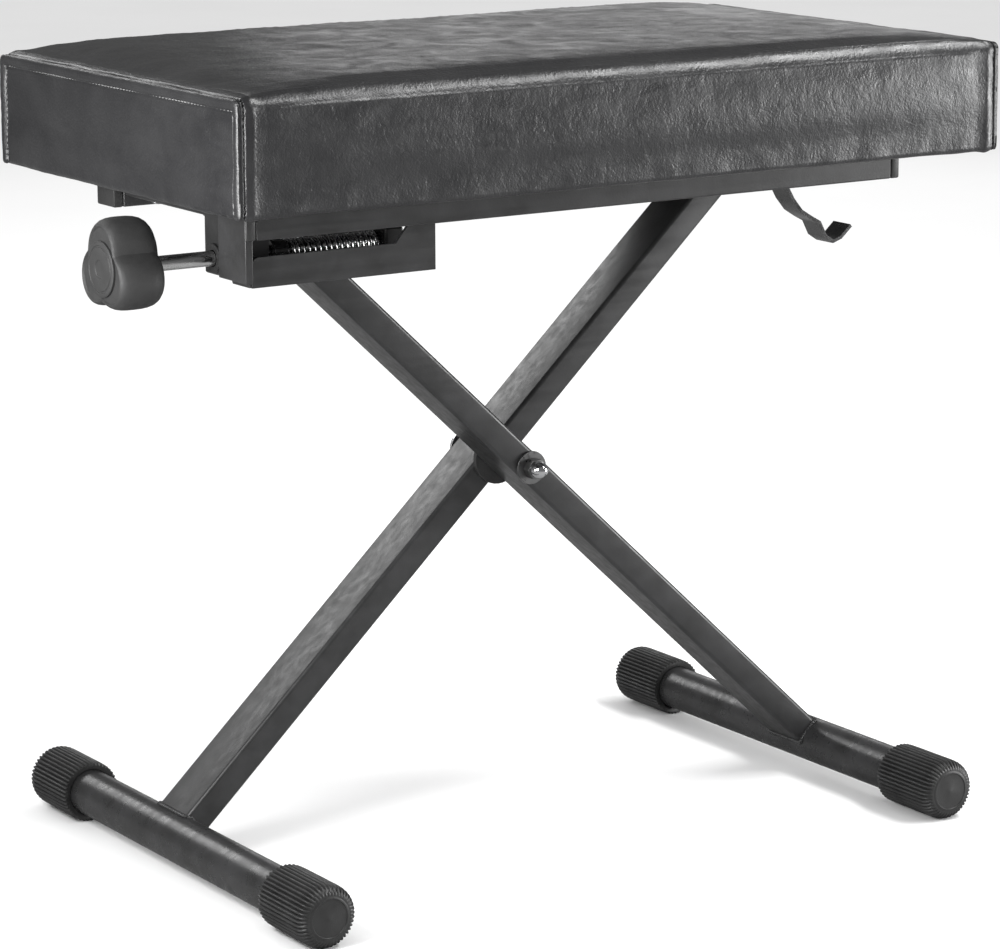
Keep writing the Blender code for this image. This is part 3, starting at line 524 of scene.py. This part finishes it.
class Cushion:
    def __init__(self):
        self.tree, self.moved = swell_of_filling()

    def swell(self, p):
        total, shift = 0.0, Vector()
        for _, index, distance in self.tree.find_n(p, 5):
            weight = 1.0 / (distance * distance + 1e-7)
            total += weight
            shift += self.moved[index] * weight
        # The board's edge keeps the cover from being drawn in beside it.
        return shift / total * min(1.0, max(0.0, (p.z - BOARD_TOP) / BOARD_FADE))

    def at(self, p):
        place, out = seated(p)
        place = place + self.swell(p) + crown(p) + bulge(p)
        return place + out * (seam_relief(p) + wrinkles(p)), out

    def make_cover(self):
        xs = spaced(-HALF_X, HALF_X, 0.0005, 0.0120, 0.0044)
        ys = spaced(-HALF_Y, HALF_Y, 0.0007, 0.0126, 0.0044)
        zs = spaced(FOLD_LOW, SEAT_TOP, 0.0007, 0.0119, 0.0044)
        grid, faces = block_grid(xs, ys, zs)
        points = [self.at(p)[0] + Vector((MIDDLE_X, 0, 0)) for p in grid]
        cover = add_mesh("cushion_cover", points, faces, LEATHER, "seat", 80)
        thick = cover.modifiers.new("thickness", "SOLIDIFY")
        thick.thickness = COVER_THICK
        thick.offset = -1.0
        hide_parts("seat_cover", "foam_pad")

    def make_stitches(self, end, name):
        """Both rows of stitches round one end panel: over the top and down both corners."""
        skin = Skin()
        for on_panel in (True, False):
            inset = PANEL_STITCH if on_panel else LATERAL_STITCH
            x = end * (HALF_X if on_panel else HALF_X - inset)
            reach_y = HALF_Y - (inset if on_panel else 0.0)
            top = SEAT_TOP - (inset if on_panel else 0.0)
            down = [(-reach_y, z) for z in stitch_steps(FOLD_LOW + 0.004, top - 0.004)]
            over = [(y, top) for y in stitch_steps(-reach_y + 0.003, reach_y - 0.003)]
            for y, z in down + [(-y, z) for y, z in down]:
                self.add_stitch(skin, Vector((x, y, z)), Vector((0, 0, 1)))
            for y, z in over:
                self.add_stitch(skin, Vector((x, y, z)), Vector((0, 1, 0)))
        skin.make(name, THREAD, "seat", 60)

    def add_stitch(self, skin, p, along):
        half = STITCH_PITCH * 0.36
        ends = []
        for way in (-1, 1):
            place, out = self.at(p + along * (way * half))
            ends.append(place)
        centre, out = self.at(p)
        run = ends[1] - ends[0]
        length = run.length
        run.normalize()
        side = out.cross(run).normalized()
        rise = run.cross(side)
        rings = []
        for share, radius in ((-0.5, 0.35), (-0.36, 0.85), (0.0, 1.0), (0.36, 0.85), (0.5, 0.35)):
            lift = STITCH_ARCH * (1 - (share * 2) ** 2) + 0.00005
            middle_point = centre + run * (share * length) + rise * lift
            middle_point.x += MIDDLE_X
            rings.append([middle_point + side * (STITCH_RADIUS * radius * math.cos(turn))
                          + rise * (STITCH_RADIUS * radius * math.sin(turn))
                          for turn in (2 * math.pi * k / 6 for k in range(6))])
        skin.loft(rings)


def stitch_steps(low, high):
    count = int((high - low) / STITCH_PITCH)
    spare = (high - low - count * STITCH_PITCH) / 2
    return [low + spare + STITCH_PITCH * i for i in range(count + 1)]


# ---- feet and legs ---------------------------------------------------------------------
RIBS = 44
RIB_DEPTH = 0.0019
CAP_DISC = 0.0150            # radius of the smooth disc at the cap's end
CAP_BORE = 0.0163
SHOULDER = 0.0085
FOOT_WALL = 0.0018


def make_foot_cap(node, body, way):
    """Ribbed rubber cap: ribs run over the shoulder and stop at a smooth disc."""
    low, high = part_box(node)
    centre = (low + high) / 2
    radius = (high.z - low.z) / 2
    mouth, end = (high.y, low.y) if way < 0 else (low.y, high.y)
    length = abs(end - mouth)
    samples = 8

    def rib_ring(along, crest, depth):
        points = []
        for i in range(RIBS * samples):
            phase = (i % samples) / samples
            lift = 0.5 - 0.5 * math.cos(2 * math.pi * phase)
            reach = crest - depth * (1 - lift) ** 1.6
            angle = -math.pi / 2 + 2 * math.pi * (i / (RIBS * samples) - 0.5 / RIBS)
            points.append(Vector((centre.x + reach * math.cos(angle), mouth + way * along,
                                  centre.z + reach * math.sin(angle))))
        return points

    rings = [rib_ring(0.012, CAP_BORE, 0.0), rib_ring(0.0006, CAP_BORE, 0.0),
             rib_ring(0.0, CAP_BORE + 0.0009, 0.0),
             rib_ring(0.0, radius - 0.0009, RIB_DEPTH * 0.6),
             rib_ring(0.0009, radius - 0.0002, RIB_DEPTH)]
    straight = length - SHOULDER
    for i in range(1, 7):
        rings.append(rib_ring(0.0009 + (straight - 0.0009) * i / 6, radius, RIB_DEPTH))
    for i in range(1, 10):
        angle = math.pi / 2 * i / 9
        crest = CAP_DISC + (radius - CAP_DISC) * math.cos(angle) ** 0.9
        along = straight + (SHOULDER - 0.0004) * math.sin(angle)
        rings.append(rib_ring(along, crest, RIB_DEPTH * math.cos(angle) ** 0.6))
    for drop, reach in ((0.0004, CAP_DISC - 0.0004), (0.0000, CAP_DISC - 0.0009),
                        (0.0, 0.0130), (0.0004, 0.0127), (0.0004, 0.0020), (0.0002, 0.0012)):
        rings.append(rib_ring(length - drop, reach, 0.0))
    skin = Skin()
    skin.loft(rings)
    cap = skin.make(f"{node}_ribbed", RUBBER, body, 50)
    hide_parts(node)


def make_foot_bar(node, body):
    low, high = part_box(node)
    centre = (low + high) / 2
    radius = (high.z - low.z) / 2
    inside = radius - FOOT_WALL
    rings = []
    for y, reach in ((low.y, radius), (high.y, radius), (high.y, inside), (low.y, inside)):
        rings.append(circle("Y", Vector((centre.x, y, centre.z)), reach, 96))
    skin = Skin()
    skin.loft(rings, closed=True)
    bar = skin.make(f"{node}_tube", STEEL_FOOT, body)
    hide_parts(node)
    return centre, radius


LEG_THICK = 0.020
LEG_WALL = 0.0018
LEG_CORNER = 0.0028
LEG_BEYOND = 0.010           # tube beyond its top axle
WELD_RADIUS = 0.0017
WELD_OUT = 0.0004            # middle of the bead, out from the leg
WELD_UP = 0.0006             # middle of the bead, up from the foot bar


def leg_outline(half_thick, half_wide, corner):
    """Rounded rectangle: offsets across the leg and along Y."""
    points = []
    for turn in range(4):
        sign_a = 1 if turn in (0, 3) else -1
        sign_y = 1 if turn in (0, 1) else -1
        for step in range(7):
            angle = math.radians(90 * turn + 15 * step)
            points.append((sign_a * (half_thick - corner) + corner * math.cos(angle),
                           sign_y * (half_wide - corner) + corner * math.sin(angle)))
    return points


def make_leg(node, body, axle, foot, foot_radius, paint):
    """Rectangular tube coped on to the foot bar, with a weld bead round the joint."""
    low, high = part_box(node)
    middle_y, half_wide = (low.y + high.y) / 2, (high.y - low.y) / 2
    top = Vector((axle.x, 0, axle.z))
    bottom = Vector((foot.x, 0, foot.z))
    along = (top - bottom).normalized()
    across = Vector((-along.z, 0, along.x))
    end = top + along * LEG_BEYOND
    half = LEG_THICK / 2

    def ring(outline, at_top):
        points = []
        for a, y in outline:
            if at_top:
                base = end
            else:
                base = bottom + along * math.sqrt((foot_radius + 0.0001) ** 2 - a * a)
            points.append(base + across * a + Vector((0, middle_y + y, 0)))
        return points

    outer = leg_outline(half, half_wide, LEG_CORNER)
    inner = leg_outline(half - LEG_WALL, half_wide - LEG_WALL, LEG_CORNER - LEG_WALL)
    rings = [ring(outer, False), ring(outer, True), ring(inner, True), ring(inner, False)]
    skin = Skin()
    skin.loft(rings, closed=True)
    leg = skin.make(f"{node}_tube", paint, body)
    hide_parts(node)
    path = []
    for a, y in leg_outline(half + WELD_OUT, half_wide + WELD_OUT, LEG_CORNER):
        base = bottom + along * math.sqrt((foot_radius + WELD_UP) ** 2 - a * a)
        path.append(base + across * a + Vector((0, middle_y + y, 0)))
    make_weld(f"{node}_weld", path, WELD_RADIUS, body)


def make_weld(name, path, radius, body):
    """A bead of overlapping scales along a closed path."""
    path = path + [path[0]]
    lengths = [(b - a).length for a, b in zip(path, path[1:])]
    total = sum(lengths)
    step = radius * 1.05
    count = max(2, int(total / step))
    skin = Skin()
    for number in range(count):
        travel = total * (number + 0.5) / count
        for (a, b), length in zip(zip(path, path[1:]), lengths):
            if travel <= length:
                break
            travel -= length
        centre = a.lerp(b, travel / length)
        run = (b - a).normalized()
        jitter = 1 + 0.16 * noise.noise(Vector((number * 0.73, total * 90, radius * 800)))
        lean = Vector((0.0, 0.0, 1.0)) if abs(run.z) < 0.8 else Vector((0.0, 1.0, 0.0))
        side = run.cross(lean).normalized()
        rise = side.cross(run)
        rings = []
        for i in range(5):
            angle = math.pi * (i + 0.5) / 5
            place = centre - run * (radius * 0.75 * math.cos(angle))
            size = radius * jitter * math.sin(angle)
            rings.append([place + side * (size * math.cos(turn)) + rise * (size * math.sin(turn))
                          for turn in (2 * math.pi * k / 8 for k in range(8))])
        skin.loft(rings)
    skin.make(name, WELD, body, 60)


# ---- spindle, knob and spring ----------------------------------------------------------
def make_knob():
    """Three-lobed grip with soft edges and a plain round cap set into its face."""
    low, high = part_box("knob")
    axis = middle("spindle")
    reach_up = high.z - axis.z
    depth = high.x - low.x
    count = 144

    def lobed(along, scale, roundness=0.0):
        points = []
        for i in range(count):
            angle = 2 * math.pi * i / count
            lobe = 0.5 + 0.5 * math.cos(3 * (angle - math.pi / 2))
            shape = 0.68 + 0.32 * lobe ** 0.60
            shape += (0.80 - shape) * roundness
            radius = reach_up * shape * scale
            points.append(Vector((low.x + depth * along, axis.y + radius * math.cos(angle),
                                  axis.z + radius * math.sin(angle))))
        return points

    profile = [(0.040, 0.50), (0.036, 0.820), (0.008, 0.850), (0.000, 0.865), (0.010, 0.895),
               (0.040, 0.930), (0.100, 0.965), (0.190, 0.988), (0.300, 0.998), (0.430, 1.000),
               (0.580, 0.996), (0.700, 0.980), (0.800, 0.950), (0.880, 0.900), (0.940, 0.830),
               (0.980, 0.740), (1.000, 0.600)]
    rings = [lobed(along, scale, 0.12 * max(0.0, 1 - along * 8)) for along, scale in profile]
    for along, reach in ((0.0, 0.0105), (0.0012, 0.0095), (0.0012, 0.0056)):
        rings.append(circle_of(axis, high.x + along, reach, count))
    skin = Skin()
    skin.loft(rings)
    knob = skin.make("knob_grip", KNOB_PLASTIC, "spindle_assembly", 40)
    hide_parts("knob")
    low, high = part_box("knob_disc")
    face = low.x
    radius = (high.z - low.z) / 2
    rings = []
    for along, reach in ((0.0022, radius), (0.0005, radius), (0.0, radius - 0.0006),
                         (0.0, radius - 0.0026), (0.0005, radius - 0.0030),
                         (0.0005, radius - 0.0038), (0.0, radius - 0.0042),
                         (-0.0003, 0.0065), (-0.0003, 0.0060), (0.0002, 0.0056), (0.0002, 0.002)):
        rings.append(circle_of(axis, face + along, reach, 96))
    skin = Skin()
    skin.loft(rings)
    disc = skin.make("knob_face", KNOB_PLASTIC, "spindle_assembly", 40)
    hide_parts("knob_disc")


def make_bracket_flange():
    """Folded lip that closes the corner between the spindle bracket and the front rail."""
    low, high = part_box("spindle_bracket")
    rail_low, rail_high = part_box("front_rail_cap_left")
    front, back = rail_low.y + 0.0010, low.y - 0.0002
    left, right = low.x + 0.0003, rail_low.x - 0.0003
    bottom = low.z + 0.0008
    top = rail_high.z - 0.0004
    skin = Skin()
    skin.loft([[Vector((x, y, z)) for x, y in ((left, front), (right, front), (right, back),
                                               (left, back))] for z in (bottom, top)])
    lip = skin.make("spindle_bracket_lip", STEEL_X, "seat")
    soften = lip.modifiers.new("soften", "BEVEL")
    soften.width = 0.0007
    soften.segments = 3


def circle_of(axis, x, radius, count):
    return circle("X", Vector((x, axis.y, axis.z)), radius, count)


SPRING_WIRE = 0.0016         # radius of the wire
SPRING_TURNS = 17
CLOSED_TURNS = 1.6           # turns that lie against each other at each end


def make_spring():
    """Helix of round wire with closed end coils."""
    low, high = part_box("spindle_spring")
    axis = middle("spindle")
    mean = (high.z - low.z) / 2 - SPRING_WIRE
    steps, sides = 26, 10
    start, end = low.x + SPRING_WIRE, high.x - SPRING_WIRE
    closed_pitch = SPRING_WIRE * 2.05
    closed_length = CLOSED_TURNS * closed_pitch
    body_length = end - start - 2 * closed_length
    rings = []
    for i in range(SPRING_TURNS * steps + 1):
        turn = i / steps
        if turn < CLOSED_TURNS:
            along = turn * closed_pitch
        elif turn > SPRING_TURNS - CLOSED_TURNS:
            along = end - start - (SPRING_TURNS - turn) * closed_pitch
        else:
            share = (turn - CLOSED_TURNS) / (SPRING_TURNS - 2 * CLOSED_TURNS)
            along = closed_length + body_length * share
        angle = 2 * math.pi * turn
        ring = []
        for k in range(sides):
            around = 2 * math.pi * k / sides
            reach = mean + SPRING_WIRE * math.cos(around)
            ring.append(Vector((start + along + SPRING_WIRE * math.sin(around),
                                axis.y + reach * math.cos(angle),
                                axis.z + reach * math.sin(angle))))
        rings.append(ring)
    skin = Skin()
    skin.loft(rings)
    spring = skin.make("spring_coil", WIRE, "seat", 60)
    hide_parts("spindle_spring")
    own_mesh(spring)


# ---- carried-over CAD nodes ------------------------------------------------------------
def finish_cad():
    for name in ("front_rail", "back_rail", "cross_bar_left", "cross_bar_right"):
        finish_node(name, STEEL_X, 0.0011)
    for name in ("spindle_bracket", "guide_channel", "latch_bracket", "slide_carriage"):
        finish_node(name, STEEL_X, 0.0006)
    for name in ("spindle_collar", "spindle_thrust_washer", "spindle_nut"):
        finish_node(name, STEEL_LEVER, 0.0005)
    finish_node("latch_lever", STEEL_LEVER, 0.0005, 40)
    for name in ("front_rail_cap_left", "front_rail_cap_right", "back_rail_cap_left",
                 "back_rail_cap_right", "leg_a_end_plug", "leg_b_end_plug", "pivot_spacer",
                 "spindle_bush"):
        finish_node(name, PLASTIC, 0.0003)
    for name in ("lever_pin", "leg_a_axle", "leg_b_axle", "pivot_bolt", "pivot_washer_back",
                 "cross_bar_left_screw_1", "cross_bar_left_screw_2", "cross_bar_right_screw_1",
                 "cross_bar_right_screw_2"):
        finish_node(name, ZINC, 0.0003)
    for name in ("pivot_washer_front", "pivot_nut"):
        finish_node(name, DARK_ZINC, 0.0003)
    finish_node("spindle", ROD_STEEL, 0.0003)
    finish_node("pivot_acorn_cap", CHROME, 0.0002, 50)
    finish_node("seat_board", PLYWOOD, 0.0003)
    finish_node("underside_lining", FELT, 0.0002)


# ---- stage -----------------------------------------------------------------------------
CAMERA_PLACE = Vector((-1.4512 + MIDDLE_X, -2.2574, 0.8242))
CAMERA_YAW = 0.5700
CAMERA_PITCH = 0.2126
CAMERA_ROLL = -0.0048
CAMERA_LENS = 140.83         # on a 36 mm wide sensor
SKY = 0.85
SKY_IN_GLOSS = 0.16
SKY_TO_CAMERA = 0.15
FLOOR_SHADE_IN_GLOSS = 0.26
# Name, place, target, width and height, and watts of each light.
SOFTBOXES = (
    ("right_softbox", (1.75, -1.05, 0.50), (0.25, -0.1, 0.45), (0.8, 0.8), 30),
    ("left_softbox", (-2.4, 0.75, 0.45), (-0.25, -0.1, 0.45), (0.6, 0.8), 9),
    ("near_softbox", (-0.68, -0.22, 0.52), (-0.30, -0.16, 0.48), (0.26, 0.30), 5.0),
    ("top_softbox", (1.25, -0.6, 2.1), (0.1, -0.15, 0.5), (1.9, 0.35), 36),
    ("back_softbox", (-0.5, 2.7, 1.9), (0, 0, 0.3), (1.4, 0.7), 16),
    ("far_softbox", (2.2, 3.0, 0.9), (0, 0, 0.5), (1.2, 0.7), 4),
)


def make_camera():
    data = bpy.data.cameras.new("camera")
    data.lens = CAMERA_LENS
    data.sensor_width = 36.0
    camera = bpy.data.objects.new("camera", data)
    bpy.context.scene.collection.objects.link(camera)
    forward = Vector((math.sin(CAMERA_YAW) * math.cos(CAMERA_PITCH),
                      math.cos(CAMERA_YAW) * math.cos(CAMERA_PITCH), -math.sin(CAMERA_PITCH)))
    level = Vector((math.cos(CAMERA_YAW), -math.sin(CAMERA_YAW), 0.0))
    upright = level.cross(forward)
    right = level * math.cos(CAMERA_ROLL) + upright * math.sin(CAMERA_ROLL)
    up = upright * math.cos(CAMERA_ROLL) - level * math.sin(CAMERA_ROLL)
    turn = Matrix((right, up, -forward)).transposed()
    camera.matrix_world = Matrix.Translation(CAMERA_PLACE) @ turn.to_4x4()
    bpy.context.scene.camera = camera


def add_light(name, place, target, size, power):
    data = bpy.data.lights.new(name, "AREA")
    data.shape = "RECTANGLE"
    data.size, data.size_y = size
    data.energy = power
    lamp = bpy.data.objects.new(name, data)
    bpy.context.scene.collection.objects.link(lamp)
    lamp.location = place
    lamp.rotation_euler = (Vector(target) - Vector(place)).to_track_quat("-Z", "Y").to_euler()


def make_floor():
    reach = 12.0
    floor = bpy.data.meshes.new("floor")
    corners = [(-reach, -reach, 0), (reach, -reach, 0), (reach, reach, 0), (-reach, reach, 0)]
    floor.from_pydata(corners, [], [(0, 1, 2, 3)])
    paint = Paint("pale_floor", 0.75, sockets={"Specular IOR Level": 0.2})
    seen = paint.tree.nodes.new("ShaderNodeLightPath")
    # A colour mix has its factor, A and B in sockets 0, 6 and 7, and its result in output 2.
    shade = paint.tree.nodes.new("ShaderNodeMix")
    shade.data_type = "RGBA"
    # In reflections the floor takes a darker colour: a painted shade that dims the floor's reflection
    # in the bench.
    shade.inputs[7].default_value = (*(FLOOR_SHADE_IN_GLOSS,) * 3, 1.0)
    paint.link(seen.outputs["Is Glossy Ray"], shade.inputs[0])
    paint.link(paint.ramp(paint.noise(3, 3), ((0.3, 0.90), (0.7, 0.92))), shade.inputs[6])
    paint.link(shade.outputs[2], paint.shader.inputs["Base Color"])
    floor.materials.append(paint.material)
    item = bpy.data.objects.new("floor", floor)
    bpy.context.scene.collection.objects.link(item)


def make_sky():
    """Even white light, weaker in reflections and a little stronger behind the bench."""
    world = bpy.data.worlds.new("studio")
    bpy.context.scene.world = world
    world.use_nodes = True
    tree = world.node_tree
    background = tree.nodes["Background"]
    background.inputs["Color"].default_value = (1.0, 1.0, 1.0, 1.0)
    seen = tree.nodes.new("ShaderNodeLightPath")
    level = tree.nodes.new("ShaderNodeMapRange")
    level.inputs["To Min"].default_value = SKY
    level.inputs["To Max"].default_value = SKY_IN_GLOSS
    tree.links.new(seen.outputs["Is Glossy Ray"], level.inputs["Value"])
    total = tree.nodes.new("ShaderNodeMath")
    total.operation = "MULTIPLY_ADD"
    total.inputs[1].default_value = SKY_TO_CAMERA
    tree.links.new(seen.outputs["Is Camera Ray"], total.inputs[0])
    tree.links.new(level.outputs["Result"], total.inputs[2])
    tree.links.new(total.outputs["Value"], background.inputs["Strength"])


def make_stage():
    make_floor()
    make_sky()
    for name, place, target, size, power in SOFTBOXES:
        add_light(name, place, target, size, power)
    bpy.context.scene.view_settings.view_transform = "Standard"


# ---- assembly --------------------------------------------------------------------------
def build():
    make_camera()
    make_stage()
    finish_cad()
    cushion = Cushion()
    cushion.make_cover()
    cushion.make_stitches(-1, "stitching_left")
    cushion.make_stitches(1, "stitching_right")
    for side, body, leg, axle, paint in (
            ("right", "leg_a_frame", "leg_a", "leg_a_axle", STEEL_A),
            ("left", "leg_b_frame", "leg_b", "leg_b_axle", STEEL_B)):
        centre, radius = make_foot_bar(f"foot_bar_{side}", body)
        make_foot_cap(f"foot_bar_{side}_cap_front", body, -1)
        make_foot_cap(f"foot_bar_{side}_cap_back", body, 1)
        make_leg(leg, body, middle(axle), centre, radius, paint)
    make_knob()
    make_spring()
    make_bracket_flange()


build()
